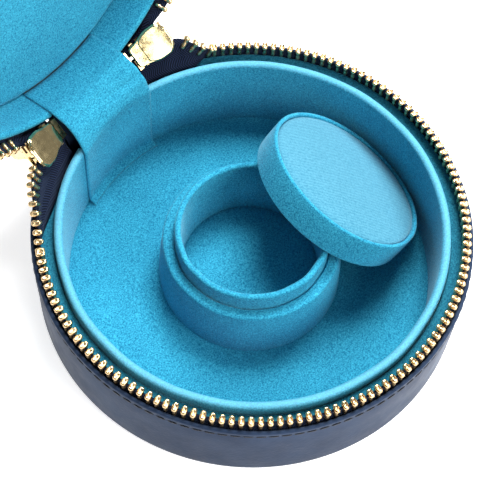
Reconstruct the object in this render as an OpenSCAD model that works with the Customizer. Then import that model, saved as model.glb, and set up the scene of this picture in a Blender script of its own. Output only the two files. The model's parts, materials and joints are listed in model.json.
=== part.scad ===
// Round zip-around jewellery case: leather shells, lined tray, central pod
// with a loose padded cap, and a two-way metal zip that runs round the rim.
// The lid is modelled shut, then swung open about the back fold.

/* [Case] */
// Outer diameter of the leather shells
case_d = 124.8; // [122:0.2:128]
// Height of the shut case
case_h = 48; // [47:0.5:52]
// Height of the base's leather lip
lip_z = 30.3; // [29.5:0.1:30.6]
// Radius of the rounded bottom and top corners
corner_r = 5; // [3:0.5:6]
// Thickness of the leather
leather_t = 1.2; // [1:0.1:1.4]
// How far the lid stands open at rest, in degrees
lid_open = 98; // [60:1:105]

/* [Tray] */
// Height of the tray's rim
tray_z = 31.5; // [30:0.1:31.6]
// Height of the tray's padded floor
floor_z = 4; // [3.5:0.1:5]
// Outer radius of the tray's wall
tray_r = 55.9; // [54:0.1:56.2]
// Thickness of the tray's wall
tray_wall_t = 2.5; // [2:0.1:3]

/* [Pod] */
// Radius of the pod's outer ring at the floor
pod_r = 26.8; // [25:0.1:28]
// Radius of the pod's outer ring at its top
pod_top_r = 25.7; // [25:0.1:26]
// Height of the pod ring's top
pod_z = 22.5; // [20:0.5:24]
// Outer radius of the collar that locates the cap
collar_r = 22.2; // [21:0.1:22.4]
// Thickness of the collar
collar_t = 1.9; // [1.5:0.1:2.2]
// Height of the collar's top
collar_z = 28.4; // [27:0.1:28.5]

/* [Cap] */
// Radius of the cap
cap_r = 25.7; // [25.5:0.1:25.9]
// Height of the cap's side, up to its seam
cap_seam = 9.3; // [9:0.1:9.5]
// Depth of the cap's hollow
cap_hollow = 7.5; // [7.3:0.1:7.6]
// Tilt of the cap as it leans on the pod, in degrees
cap_tilt = 37.3; // [37:0.1:37.6]

/* [Zip] */
// Pitch of the teeth along one tape
tooth_pitch = 2.54; // [2.4:0.01:2.7]
// Height of the zip's middle when shut
zip_z = 34.3; // [34.3:0.1:34.6]
// Radius of the tape where it carries the teeth
tape_r = 59.9; // [59.8:0.1:60]
// Thickness of the tape
tape_t = 0.6; // [0.4:0.1:0.7]
// Angle from the back fold at which each open row of teeth starts
row_start = 30.5; // [30:0.5:34]
// Angle from the back fold at which each slider is parked
park_angle = 22.5; // [22:0.1:23]

/* [Hidden] */

$fn = 180;
navy = "#1c2433";
tape_navy = "#1e2a44";
teal = "#3fa3cf";
deep_teal = "#2f86b4";
brass = "#c9a24d";
greyboard = "#8a8478";

case_r = case_d / 2;
wall_in = case_r - leather_t;
hinge_y = 61.08;
hinge_z = 32;
hinge_half = 13.5;
board_t = 1.4;
wall_board_t = 1.8;
hair = 0.05;                        // glue line between two parts of one body

// Tape: stitched flat inside the lip, then leaning in to carry the teeth
hem_r = wall_in - hair - tape_t;
base_hem = 6.8;
lid_hem = 3.5;
lean_start = 1.9;                   // below the lip
lean_end = 0.3;
tape_top = zip_z - 2.1;

// Teeth: a block that straddles the tape's edge
tooth_gap = 1.5;                    // between the two rows when shut
tooth_h = 3.35;
tooth_w = 1.3;
tooth_d = 2.0;
tooth_top = zip_z - tooth_gap / 2;
tooth_count = round(2 * PI * tape_r / tooth_pitch);
tooth_step = 360 / tooth_count;

// Zip ends: the short shut stretch beside the back fold
stop_from = 13.8;
stop_to = 15.6;
end_from = 15.9;
end_to = row_start - 1;
end_clear = 0.2;                    // between the end's tape and the lips

// Slider
inner_plate_r = 57.4;
plate_t = 1.0;
outer_plate_r = 61.3;
plate_half = 6.3;                   // half length along the chain
mouth_half = 4.8;
tail_half = 3.1;
outer_half = 3.5;
post_h = 0.9;
crown_half = 3.4;
crown_w = 1.8;
crown_rise = 2.5;
eye_r = outer_plate_r + plate_t + 0.95;
eye_bar_r = 0.5;
pull_len = 18;
pull_w = 6.6;
pull_t = 1.2;

lid_rim_r = 57.0;
lid_rim_t = 2.4;
lid_rim_z = 32.5;
lid_disc_z = case_h - 4;
room_from = 13.4;                   // of the slider's room in the lid's rim
room_to = 31;

// Ledge lining, below each lip, and the leather tongue behind it at the fold
ledge_drop = 9;
ledge_top = 2.2;
tongue_y = 57.6;
tongue_t = 1.2;
tongue_z = 14;

// Cap at rest: its low edge on the tray floor, its hollow over the collar
cap_x = 26.1;
cap_y = -7.75;
cap_turn = -21.2;
cap_lift = floor_z + 0.2 + cap_r * sin(cap_tilt);

// ---------- helpers ----------

// Ring with a rectangular section
module ring(ro, ri, z0, z1) {
    rotate_extrude() translate([ri, z0]) square([ro - ri, z1 - z0]);
}

// Part of a ring between two angles, counted from the back fold towards +X
module arc_ring(ro, ri, z0, z1, from, to) {
    rotate([0, 0, 90 - to]) rotate_extrude(angle = to - from)
        translate([ri, z0]) square([ro - ri, z1 - z0]);
}

// Wedge of space around the back fold, used to leave room for the lining strip
module back_gap(half, y0, y1, z0, z1) {
    translate([-half, y0, z0]) cube([2 * half, y1 - y0, z1 - z0]);
}

// Room in a wall board for the leather tongue at the fold
module tongue_room(z0, z1) {
    back_gap(hinge_half + 0.3, tongue_y - 2, case_r, z0, z1);
}

// Puts a part made above its mirror plane where its twin is in the lid
module mirrored_to_lid() {
    translate([0, 0, 2 * zip_z]) mirror([0, 0, 1]) children();
}

// Swings a part of the shut lid open about the back fold
module opened(angle) {
    translate([0, hinge_y, hinge_z]) rotate([-angle, 0, 0])
        translate([0, -hinge_y, -hinge_z]) children();
}

module mirrored_x(side) {
    if (side < 0) mirror([1, 0, 0]) children();
    else children();
}

// Section of a tape from its hem, below the lip, to the edge with the teeth
module tape_section(hem) {
    polygon([
        [hem_r, lip_z - hem],
        [hem_r + tape_t, lip_z - hem],
        [hem_r + tape_t, lip_z - lean_start],
        [tape_r + tape_t / 2, lip_z - lean_end],
        [tape_r + tape_t / 2, tape_top],
        [tape_r - tape_t / 2, tape_top],
        [tape_r - tape_t / 2, lip_z - lean_end],
        [hem_r, lip_z - lean_start]
    ]);
}

module open_tape(hem) {
    rotate([0, 0, 90 + row_start]) rotate_extrude(angle = 360 - 2 * row_start)
        tape_section(hem);
}

// One tooth, standing on +X
module tooth() {
    difference() {
        translate([tape_r - tooth_d / 2, -tooth_w / 2, tooth_top - tooth_h])
            cube([tooth_d, tooth_w, tooth_h]);
        translate([tape_r - tape_t / 2 - 0.1, -tooth_w, tooth_top - tooth_h - 1])
            cube([tape_t + 0.2, 2 * tooth_w, tape_top - tooth_top + tooth_h + 1 + 0.1]);
    }
}

// A row of teeth between two angles from the back fold, shifted by half a step or not
module tooth_row(from, to, shift) {
    for (k = [ceil(from / tooth_step - shift) : floor(to / tooth_step - shift)])
        rotate([0, 0, 90 - (k + shift) * tooth_step]) tooth();
}

// Leather wall with a rounded lip
module leather_wall(z0) {
    rotate_extrude() {
        translate([wall_in, z0]) square([leather_t, lip_z - leather_t / 2 - z0]);
        translate([wall_in + leather_t / 2, lip_z - leather_t / 2]) circle(d = leather_t, $fn = 48);
    }
}

// Leather disc with its edge turned up to the wall
module leather_end() {
    difference() {
        union() {
            cylinder(r = case_r - corner_r, h = corner_r);
            rotate_extrude() translate([case_r - corner_r, corner_r]) intersection() {
                circle(r = corner_r, $fn = 96);
                translate([0, -corner_r]) square(corner_r);
            }
        }
        translate([0, 0, leather_t]) cylinder(r = case_r - corner_r, h = corner_r);
        rotate_extrude() translate([case_r - corner_r, corner_r]) intersection() {
            circle(r = corner_r - leather_t, $fn = 96);
            translate([-1, -corner_r]) square([corner_r + 1, corner_r]);
        }
    }
}

// ---------- base ----------

module base_bottom_leather() {
    color(navy) leather_end();
}

module base_wall_leather() {
    color(navy) leather_wall(corner_r + hair);
}

module base_bottom_board() {
    color(greyboard) translate([0, 0, leather_t + hair])
        cylinder(r = case_r - corner_r, h = board_t);
}

module base_wall_board() {
    color(greyboard) difference() {
        ring(wall_in - hair, wall_in - hair - wall_board_t,
             corner_r, lip_z - ledge_drop - 0.2);
        tongue_room(tongue_z - 0.2, lip_z);
    }
}

module base_zip_tape() {
    color(tape_navy) open_tape(base_hem);
}

module base_zip_teeth() {
    color(brass) tooth_row(row_start, 360 - row_start, 0);
}

module base_ledge_lining() {
    color(deep_teal) arc_ring(hem_r - 0.3, tray_r + 0.2, lip_z - ledge_drop, lip_z - ledge_top,
                              hinge_half + 1.5, 360 - hinge_half - 1.5);
}

module tray_wall() {
    color(teal) difference() {
        rotate_extrude() {
            translate([tray_r - tray_wall_t, floor_z + hair])
                square([tray_wall_t, tray_z - tray_wall_t / 2 - floor_z - hair]);
            translate([tray_r - tray_wall_t / 2, tray_z - tray_wall_t / 2])
                circle(d = tray_wall_t, $fn = 48);
        }
        back_gap(hinge_half + 1, 40, 60, tray_z - 1.0, tray_z + 5);
    }
}

module tray_floor_pad() {
    color(teal) difference() {
        translate([0, 0, leather_t + board_t + 2 * hair])
            cylinder(r = tray_r - 0.3, h = floor_z - leather_t - board_t - 2 * hair);
        translate([0, 0, 1]) cylinder(r = collar_r - collar_t - 0.1, h = 5);
    }
}

module pod_ring() {
    color(teal) difference() {
        translate([0, 0, floor_z + hair])
            cylinder(r1 = pod_r, r2 = pod_top_r, h = pod_z - floor_z - hair);
        cylinder(r = collar_r + 0.1, h = case_h);
    }
}

module pod_collar() {
    color(teal) rotate_extrude() {
        translate([collar_r - collar_t, floor_z + hair])
            square([collar_t, collar_z - collar_t / 2 - floor_z - hair]);
        translate([collar_r - collar_t / 2, collar_z - collar_t / 2])
            circle(d = collar_t, $fn = 48);
    }
}

module pod_floor_pad() {
    color(teal) translate([0, 0, leather_t + board_t + 2 * hair])
        cylinder(r = collar_r - collar_t - 0.2, h = floor_z + 2.1 - leather_t - board_t);
}

// Leather tongue glued inside the back, with the roll that the lid folds over
module hinge_leather_base() {
    color(navy) translate([-hinge_half, 0, 0]) rotate([90, 0, 90]) linear_extrude(2 * hinge_half) {
        translate([tongue_y, tongue_z]) square([tongue_t, hinge_z - 1.6 - tongue_z]);
        translate([tongue_y, hinge_z - 1.6]) square([4.2, 0.9]);
        translate([hinge_y, hinge_z]) circle(r = 1, $fn = 48);
    }
}

// Lining strip up the back of the tray and over its rim
module hinge_lining_base() {
    color(teal) translate([-hinge_half, 0, 0]) rotate([90, 0, 90]) linear_extrude(2 * hinge_half) {
        translate([50.9, floor_z + hair]) square([0.6, tray_z - 0.8 - floor_z - hair]);
        translate([50.9, tray_z - 0.8]) square([5.9, 0.6]);
    }
}

// ---------- lid, drawn shut ----------

module lid_top_leather() {
    color(navy) opened(lid_open) translate([0, 0, case_h]) mirror([0, 0, 1]) leather_end();
}

module lid_wall_leather() {
    color(navy) opened(lid_open)
        mirrored_to_lid() leather_wall(2 * zip_z - case_h + corner_r + hair);
}

module lid_top_board() {
    color(greyboard) opened(lid_open) translate([0, 0, case_h - leather_t - hair - board_t])
        cylinder(r = case_r - corner_r, h = board_t);
}

module lid_wall_board() {
    color(greyboard) opened(lid_open) difference() {
        ring(wall_in - hair, wall_in - hair - wall_board_t + 0.4,
             2 * zip_z - lip_z + lid_hem + 0.2, case_h - corner_r);
        tongue_room(hinge_z, case_h);
    }
}

module lid_zip_tape() {
    color(tape_navy) opened(lid_open) mirrored_to_lid() open_tape(lid_hem);
}

module lid_zip_teeth() {
    color(brass) opened(lid_open) mirrored_to_lid()
        tooth_row(row_start, 360 - row_start, 0.5);
}

module lid_ledge_lining() {
    color(deep_teal) opened(lid_open)
        arc_ring(hem_r - 0.3, lid_rim_r + 0.2,
                 2 * zip_z - lip_z + ledge_top, 2 * zip_z - lip_z + lid_hem + 0.1,
                 hinge_half + 1.5, 360 - hinge_half - 1.5);
}

module lid_rim_wall() {
    color(teal) opened(lid_open) difference() {
        rotate_extrude() {
            translate([lid_rim_r - lid_rim_t, lid_rim_z + lid_rim_t / 2])
                square([lid_rim_t, case_h - 4 - lid_rim_z - lid_rim_t / 2 + 1.2]);
            translate([lid_rim_r - lid_rim_t / 2, lid_rim_z + lid_rim_t / 2])
                circle(d = lid_rim_t, $fn = 48);
        }
        back_gap(hinge_half + 1, 40, 62, lid_rim_z - 5, lid_rim_z + 1.2);
        for (side = [-1, 1]) mirrored_x(side) slider_room();
    }
}

// Space that a parked slider sweeps through in the lid as the lid swings
module slider_room() {
    rotate([0, 0, 90 - room_to]) rotate_extrude(angle = room_to - room_from) polygon([
        [lid_rim_r - lid_rim_t - 0.3, lid_rim_z - 5],
        [lid_rim_r - lid_rim_t - 0.3, lid_rim_z + 3.1],
        [lid_rim_r - 1.8, lid_rim_z + 3.1],
        [lid_rim_r + 0.1, lid_rim_z + 7],
        [lid_rim_r + 1, lid_rim_z + 7],
        [lid_rim_r + 1, lid_rim_z - 5]
    ]);
}

module lid_disc_pad() {
    color(teal) opened(lid_open) translate([0, 0, lid_disc_z])
        cylinder(r = lid_rim_r - lid_rim_t - 0.2,
                 h = case_h - lid_disc_z - leather_t - board_t - 2 * hair);
}

// Leather tongue in the lid, curled round the roll on the back fold
module hinge_leather_lid() {
    curl_in = 1.3;
    curl_out = 2.2;
    color(navy) opened(lid_open) {
        translate([-hinge_half, 0, 0]) rotate([90, 0, 90]) linear_extrude(2 * hinge_half) {
            translate([tongue_y, hinge_z + 1.4])
                square([tongue_t, case_h - corner_r - hinge_z - 1.4]);
            translate([tongue_y, hinge_z + 1.4]) square([3.0, 0.8]);
        }
        translate([-hinge_half, hinge_y, hinge_z]) rotate([90, 0, 90])
            rotate([0, 0, 45]) rotate_extrude(angle = 120)
                translate([curl_in, 0]) square([curl_out - curl_in, 2 * hinge_half]);
    }
}

module hinge_lining_lid() {
    color(teal) opened(lid_open)
        translate([-hinge_half, 0, 0]) rotate([90, 0, 90]) linear_extrude(2 * hinge_half) {
            translate([50.9, lid_rim_z + 0.3]) square([0.6, lid_disc_z - hair - lid_rim_z - 0.3]);
            translate([50.9, lid_rim_z + 0.3]) square([5.9, 0.6]);
        }
}

// ---------- zip ends, halfway between base and lid ----------

// The two tape edges of the shut stretch
module zip_end_tape(side) {
    color(tape_navy) opened(lid_open / 2) mirrored_x(side) {
        arc_ring(tape_r + tape_t / 2, tape_r - tape_t / 2, lip_z + end_clear, tape_top,
                 end_from, end_to);
        mirrored_to_lid()
            arc_ring(tape_r + tape_t / 2, tape_r - tape_t / 2, lip_z + end_clear, tape_top,
                     end_from, end_to);
    }
}

module zip_end_teeth(side) {
    color(brass) opened(lid_open / 2) mirrored_x(side) {
        tooth_row(end_from + 0.7, end_to - 0.7, 0);
        mirrored_to_lid() tooth_row(end_from + 0.7, end_to - 0.7, 0.5);
    }
}

module zip_stop(side) {
    stop_half = 3.1;
    color(brass) opened(lid_open / 2) mirrored_x(side)
        arc_ring(tape_r + tooth_d / 2, tape_r - tooth_d / 2,
                 zip_z - stop_half, zip_z + stop_half, stop_from, stop_to);
}

// Outline of the inner plate: narrow over the shut zip, wide at the mouth
module inner_plate_outline() {
    hull() {
        for (z = [-1, 1]) {
            translate([-plate_half + 1, z * (tail_half - 1)]) circle(r = 1, $fn = 32);
            translate([plate_half - 2, z * (mouth_half - 2)]) circle(r = 2, $fn = 32);
            translate([-0.5, z * (mouth_half - 1.2)]) circle(r = 1.2, $fn = 32);
        }
    }
}

// Slider drawn with its centre on +X and its mouth towards +Y
module slider_body() {
    intersection() {
        ring(inner_plate_r + plate_t, inner_plate_r, zip_z - 6, zip_z + 6);
        translate([50, 0, zip_z]) rotate([90, 0, 90]) linear_extrude(20)
            inner_plate_outline();
    }
    intersection() {
        ring(outer_plate_r + plate_t, outer_plate_r, zip_z - 6, zip_z + 6);
        translate([55, -plate_half + 0.8, zip_z - outer_half])
            cube([15, 2 * plate_half - 1.6, 2 * outer_half]);
    }
    // wedge between the two rows at the mouth
    intersection() {
        ring(outer_plate_r + 0.2, inner_plate_r + 0.2, zip_z - 6, zip_z + 6);
        translate([55, plate_half - 4.4, zip_z - post_h / 2]) cube([15, 3, post_h]);
    }
    // bridge over the pull's eye
    bridge_r = outer_plate_r + plate_t;
    difference() {
        translate([bridge_r - 0.4, -crown_half, zip_z - crown_w / 2])
            cube([crown_rise + 0.4, 2 * crown_half, crown_w]);
        translate([bridge_r + 0.05, -crown_half + 0.9, zip_z - crown_w])
            cube([crown_rise - 0.85, 2 * crown_half - 1.8, 2 * crown_w]);
    }
}

// Angle from +X of a part parked beside the fold on the right
park_turn = 90 - park_angle;

// Puts a part that faces +X, mouth to +Y, at the parked place of the right zip end
module parked(side) {
    opened(lid_open / 2) mirrored_x(side) rotate([0, 0, park_turn]) mirror([0, 1, 0])
        children();
}

module slider(side) {
    color(brass) parked(side) slider_body();
}

// Pull: a flat tab on an eye, standing straight back from the slider
module pull(side) {
    arm_in = crown_w / 2 + 0.35;
    arm_w = 0.9;
    tab_from = 4.1;
    eye_x = eye_r * sin(park_angle);
    eye_y = eye_r * cos(park_angle);
    color(brass) opened(lid_open / 2) mirrored_x(side) translate([eye_x, eye_y, zip_z]) {
        cylinder(r = eye_bar_r, h = 2 * (arm_in + arm_w), center = true, $fn = 32);
        for (z = [-1, 1])
            translate([-eye_bar_r, 0, z * (arm_in + arm_w / 2) - arm_w / 2])
                cube([2 * eye_bar_r, tab_from + 0.5, arm_w]);
        translate([-pull_t / 2, tab_from, -pull_w / 2])
            cube([pull_t, pull_len - tab_from - pull_w / 2, pull_w]);
        translate([-pull_t / 2, pull_len - pull_w / 2, 0]) rotate([0, 90, 0])
            cylinder(d = pull_w, h = pull_t);
    }
}

// ---------- cap ----------

// Puts a part drawn on the cap's own axis where the cap leans
module leaning() {
    translate([cap_x, cap_y, cap_lift]) rotate([0, 0, cap_turn]) rotate([0, cap_tilt, 0])
        children();
}

cap_lining_t = 0.4;
cap_wall_t = 2.2;
cap_ceiling_t = 0.3;
cap_board_t = 0.8;

module cap_side_band() {
    color(teal) leaning()
        ring(cap_r, cap_r - cap_wall_t, 0, cap_hollow + cap_ceiling_t + cap_board_t);
}

module cap_inner_lining() {
    color(deep_teal) leaning() difference() {
        translate([0, 0, 0.2]) cylinder(r = cap_r - cap_wall_t - hair,
                                        h = cap_hollow + cap_ceiling_t - 0.2);
        translate([0, 0, -1]) cylinder(r = cap_r - cap_wall_t - cap_lining_t, h = cap_hollow + 1);
    }
}

module cap_board() {
    color(greyboard) leaning() translate([0, 0, cap_hollow + cap_ceiling_t + 0.02])
        cylinder(r = cap_r - cap_wall_t - hair, h = cap_board_t - 0.04);
}

module cap_top_pad() {
    pad_from = cap_hollow + cap_ceiling_t + cap_board_t;
    color(teal) leaning() {
        translate([0, 0, pad_from + 0.02]) cylinder(r = cap_r, h = cap_seam - pad_from - 0.02);
        translate([0, 0, cap_seam]) cylinder(r1 = cap_r, r2 = cap_r - 1, h = 0.6);
    }
}

base_bottom_leather();
base_wall_leather();
base_bottom_board();
base_wall_board();
base_zip_tape();
base_zip_teeth();
base_ledge_lining();
tray_wall();
tray_floor_pad();
pod_ring();
pod_collar();
pod_floor_pad();
hinge_leather_base();
hinge_lining_base();
lid_top_leather();
lid_wall_leather();
lid_top_board();
lid_wall_board();
lid_zip_tape();
lid_zip_teeth();
lid_ledge_lining();
lid_rim_wall();
lid_disc_pad();
hinge_leather_lid();
hinge_lining_lid();
zip_end_tape(-1);  // zip_end_tape_left
zip_end_tape(1);  // zip_end_tape_right
zip_end_teeth(-1);  // zip_end_teeth_left
zip_end_teeth(1);  // zip_end_teeth_right
zip_stop(-1);  // zip_stop_left
zip_stop(1);  // zip_stop_right
slider(-1);  // slider_left
slider(1);  // slider_right
pull(-1);  // pull_left
pull(1);  // pull_right
cap_side_band();
cap_inner_lining();
cap_board();
cap_top_pad();
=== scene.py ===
import json
from math import atan2, copysign, cos, degrees, pi, radians, sin, sqrt

import bmesh
import bpy
from mathutils import Matrix, Vector, noise


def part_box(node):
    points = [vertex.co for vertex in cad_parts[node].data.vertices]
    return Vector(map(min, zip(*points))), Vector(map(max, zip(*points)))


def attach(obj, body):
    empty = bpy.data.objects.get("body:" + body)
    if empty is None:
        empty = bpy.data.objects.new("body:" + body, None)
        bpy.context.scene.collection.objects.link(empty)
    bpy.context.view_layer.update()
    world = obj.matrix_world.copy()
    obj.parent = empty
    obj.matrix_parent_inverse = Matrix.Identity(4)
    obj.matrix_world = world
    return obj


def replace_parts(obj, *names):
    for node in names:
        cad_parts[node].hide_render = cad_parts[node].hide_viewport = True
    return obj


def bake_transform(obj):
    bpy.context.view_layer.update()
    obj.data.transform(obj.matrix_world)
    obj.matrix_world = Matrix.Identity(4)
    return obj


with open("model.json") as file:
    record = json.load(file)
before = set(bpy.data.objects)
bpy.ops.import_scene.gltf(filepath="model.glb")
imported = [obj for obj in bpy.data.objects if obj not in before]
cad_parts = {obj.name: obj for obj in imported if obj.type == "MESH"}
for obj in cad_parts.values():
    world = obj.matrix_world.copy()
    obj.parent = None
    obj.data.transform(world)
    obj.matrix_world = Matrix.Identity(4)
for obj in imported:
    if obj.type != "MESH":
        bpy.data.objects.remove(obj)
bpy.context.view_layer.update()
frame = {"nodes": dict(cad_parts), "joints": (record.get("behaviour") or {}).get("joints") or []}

MM = 0.001
scene = bpy.context.scene


def placed(name, data):
    """A new object in the scene."""
    thing = bpy.data.objects.new(name, data)
    scene.collection.objects.link(thing)
    return thing


def worked_out(thing):
    """The mesh that an object's modifiers make of it."""
    view = bpy.context.evaluated_depsgraph_get()
    return bpy.data.meshes.new_from_object(thing.evaluated_get(view))


# ------------------------------------------------------------------ camera
# The view from above the front left of the case, about 400 mm away, with the
# lid standing open behind the tray.
VIEW_AZIMUTH = radians(-54.37)
VIEW_ELEVATION = radians(61.78)
VIEW_ROLL = radians(4.6)
VIEW_DISTANCE = 405.9 * MM
VIEW_LENS = 109.1                   # in mm
tray_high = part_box("tray_wall")[1]
rim_z = tray_high.z
view_target = Vector((-6.67 * MM, -0.57 * MM, rim_z))

view_back = Vector((
    sin(VIEW_AZIMUTH) * cos(VIEW_ELEVATION),
    -cos(VIEW_AZIMUTH) * cos(VIEW_ELEVATION),
    sin(VIEW_ELEVATION),
))
view_level = Vector((cos(VIEW_AZIMUTH), sin(VIEW_AZIMUTH), 0))
view_right = cos(VIEW_ROLL) * view_level + sin(VIEW_ROLL) * view_back.cross(view_level)
view_up = view_back.cross(view_right)
camera = placed("camera", bpy.data.cameras.new("camera"))
turn = Matrix((view_right, view_up, view_back)).transposed().to_4x4()
camera.matrix_world = Matrix.Translation(view_target + VIEW_DISTANCE * view_back) @ turn
camera.data.lens = VIEW_LENS
camera.data.clip_start = 20 * MM
scene.camera = camera


# ------------------------------------------------------------------ studio
# A glowing white table under the case, a soft key lamp high on the right
# behind it, a weaker panel in front that lights the open lid, and a small
# card at the front left for the shine on the sliders.
def lamp(name, place, aim, size, power):
    light = bpy.data.lights.new(name, "AREA")
    light.shape = "RECTANGLE"
    light.size, light.size_y = size
    light.energy = power
    placed(name, light).matrix_world = (
        Matrix.Translation(place)
        @ (Vector(place) - Vector(aim)).to_track_quat("Z", "Y").to_matrix().to_4x4()
    )


lamp("key", (0.36, 0.16, 0.72), (0, 0, 0.02), (0.36, 0.36), 12.0)
lamp("front_panel", (0.10, -0.75, 0.60), (0, 0, 0.06), (0.5, 0.4), 8.5)
lamp("card", (-0.29, -0.75, 0.43), (0.02, 0.055, 0.04), (0.24, 0.24), 1.6)

scene.world = scene.world or bpy.data.worlds.new("studio")
scene.world.use_nodes = True
sky = scene.world.node_tree.nodes["Background"]
sky.inputs["Color"].default_value = (1, 1, 1, 1)
sky.inputs["Strength"].default_value = 0.28
scene.view_settings.view_transform = "Standard"

FLOOR_REACH = 3.0
floor_mesh = bpy.data.meshes.new("studio_floor")
floor_mesh.from_pydata(
    [(x * FLOOR_REACH, y * FLOOR_REACH, 0) for x, y in ((-1, -1), (1, -1), (1, 1), (-1, 1))],
    [], [(0, 1, 2, 3)])
studio_floor = placed("studio_floor", floor_mesh)
table = bpy.data.materials.new("white_table")
table.use_nodes = True
table_top = table.node_tree.nodes["Principled BSDF"]
table_top.inputs["Base Color"].default_value = (0.9, 0.9, 0.9, 1)
table_top.inputs["Roughness"].default_value = 0.9
table_top.inputs["Emission Color"].default_value = (1, 1, 1, 1)
table_top.inputs["Emission Strength"].default_value = 0.7
floor_mesh.materials.append(table)


# ------------------------------------------------------------------ base leather
# One piece of smooth navy leather wrapped on board: a flat underside, a
# rounded edge, and a wall whose top is folded in over the zip tape and
# stitched 2 mm below the fold.
def put(tree, kind, **values):
    """Adds a node, a shader's unless kind says otherwise. Capitalised names are
    inputs, the others are settings."""
    made = tree.nodes.new(kind if "Node" in kind else "ShaderNode" + kind)
    for key, value in values.items():
        if key[0].isupper():
            made.inputs[key.replace("_", " ")].default_value = value
        else:
            setattr(made, key, value)
    return made


def wire(tree, source, output, target, socket):
    tree.links.new(source.outputs[output], target.inputs[socket])


def texture(tree, kind, **values):
    """A texture laid out in the piece's own space."""
    made = put(tree, "Tex" + kind, **values)
    wire(tree, put(tree, "TexCoord"), "Object", made, "Vector")
    return made


def shader(name, **values):
    """A material, its tree and its Principled node with those inputs set."""
    material = bpy.data.materials.new(name)
    material.use_nodes = True
    surface = material.node_tree.nodes["Principled BSDF"]
    for key, value in values.items():
        surface.inputs[key.replace("_", " ")].default_value = value
    return material, material.node_tree, surface


def shades(tree, source, output, low, high, stops=(0.3, 0.7)):
    """A ramp between two colours, driven by source."""
    ramp = put(tree, "ValToRGB")
    for element, place, colour in zip(ramp.color_ramp.elements, stops, (low, high)):
        element.position = place
        element.color = (*colour, 1)
    wire(tree, source, output, ramp, "Fac")
    return ramp


def coloured(tree, surface, *ramp):
    wire(tree, shades(tree, *ramp), "Color", surface, "Base Color")


def worn(tree, surface, noise_map, low, high):
    """Roughness between two values, driven by a noise."""
    gloss = put(tree, "MapRange", From_Min=0.3, From_Max=0.7, To_Min=low, To_Max=high)
    wire(tree, noise_map, "Fac", gloss, "Value")
    wire(tree, gloss, "Result", surface, "Roughness")


def relief(tree, surface, height, output, depth, strength=1.0):
    bump = put(tree, "Bump", Strength=strength, Distance=depth)
    wire(tree, height, output, bump, "Height")
    wire(tree, bump, "Normal", surface, "Normal")


def navy_leather():
    material, tree, surface = shader(
        "navy_leather", Roughness=0.4, IOR=1.27, Specular_IOR_Level=0.1,
        Specular_Tint=(0.5, 0.72, 1.0, 1))
    tone = texture(tree, "Noise", Scale=45, Detail=4, Roughness=0.6)
    coloured(tree, surface, tone, "Fac", (0.015, 0.025, 0.052), (0.031, 0.050, 0.094))
    worn(tree, surface, texture(tree, "Noise", Scale=160, Detail=5, Roughness=0.65), 0.30, 0.44)
    grain = texture(tree, "Voronoi", Scale=1100, feature="SMOOTH_F1", Smoothness=0.6)
    relief(tree, surface, grain, "Distance", 0.06 * MM, 0.5)
    return material


leather = navy_leather()


def finished(name, mesh, material, sharp=35):
    """Puts a mesh in the scene as a smooth piece, sharp only at folds over that angle."""
    mesh.materials.append(material)
    mesh.shade_smooth()
    mesh.set_sharp_from_angle(angle=radians(sharp))
    return placed(name, mesh)


def piece_of(name, bm, material, sharp=35):
    """The finished piece of a bmesh."""
    bmesh.ops.recalc_face_normals(bm, faces=bm.faces)
    mesh = bpy.data.meshes.new(name)
    bm.to_mesh(mesh)
    bm.free()
    return finished(name, mesh, material, sharp)


def run_lengths(points):
    """How far along its line each point of a section lies."""
    lengths = [0.0]
    for a, b in zip(points, points[1:]):
        lengths.append(lengths[-1] + sqrt((a[0] - b[0]) ** 2 + (a[1] - b[1]) ** 2))
    return lengths


def arc(centre, radius, start, end, steps):
    """Points of an arc in a section, in degrees from outwards, turning upwards."""
    turns = [radians(start + (end - start) * k / steps) for k in range(steps + 1)]
    return [(centre[0] + radius * cos(a), centre[1] + radius * sin(a)) for a in turns]


def fold_direction(angle):
    """Unit vector at that angle from the back fold, turning towards +X."""
    return Vector((sin(radians(angle)), cos(radians(angle)), 0))


def revolved(name, section, material, start=0, end=360, steps=240, shift=None, sharp=35):
    """A closed section of (radius, height) points, turned about Z from start to end.
    shift, where given, moves each point by a function of (angle, radius, height)."""
    full = end - start >= 360
    bm = bmesh.new()
    uv = bm.loops.layers.uv.new("UVMap")
    rings = []
    count = steps if full else steps + 1
    for k in range(count):
        angle = start + (end - start) * k / steps
        out = fold_direction(angle)
        ring = []
        for radius, height in section:
            r, h = shift(angle, radius, height) if shift else (radius, height)
            ring.append(bm.verts.new(out * r + Vector((0, 0, h))))
        rings.append(ring)
    lengths = run_lengths(section + section[:1])
    around = max(radius for radius, _ in section) * radians(1)
    for k in range(steps):
        one, two = rings[k], rings[(k + 1) % count]
        left, right = ((start + (end - start) * (k + j) / steps) * around for j in (0, 1))
        for j in range(len(section)):
            i = (j + 1) % len(section)
            face = bm.faces.new((one[j], two[j], two[i], one[i]))
            corners = ((left, lengths[j]), (right, lengths[j]),
                       (right, lengths[j + 1]), (left, lengths[j + 1]))
            for loop, corner in zip(face.loops, corners):
                loop[uv].uv = corner
    if not full:
        bm.faces.new(rings[0])
        bm.faces.new(list(reversed(rings[-1])))
    bmesh.ops.remove_doubles(bm, verts=bm.verts, dist=1e-6)
    return piece_of(name, bm, material, sharp)


leather_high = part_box("base_wall_leather")[1]
case_r = leather_high.x
lip_z = leather_high.z
LEATHER = 1.2 * MM
EDGE_R = 5 * MM
STITCH_DROP = 2.2 * MM              # of the stitch line below the fold


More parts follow.
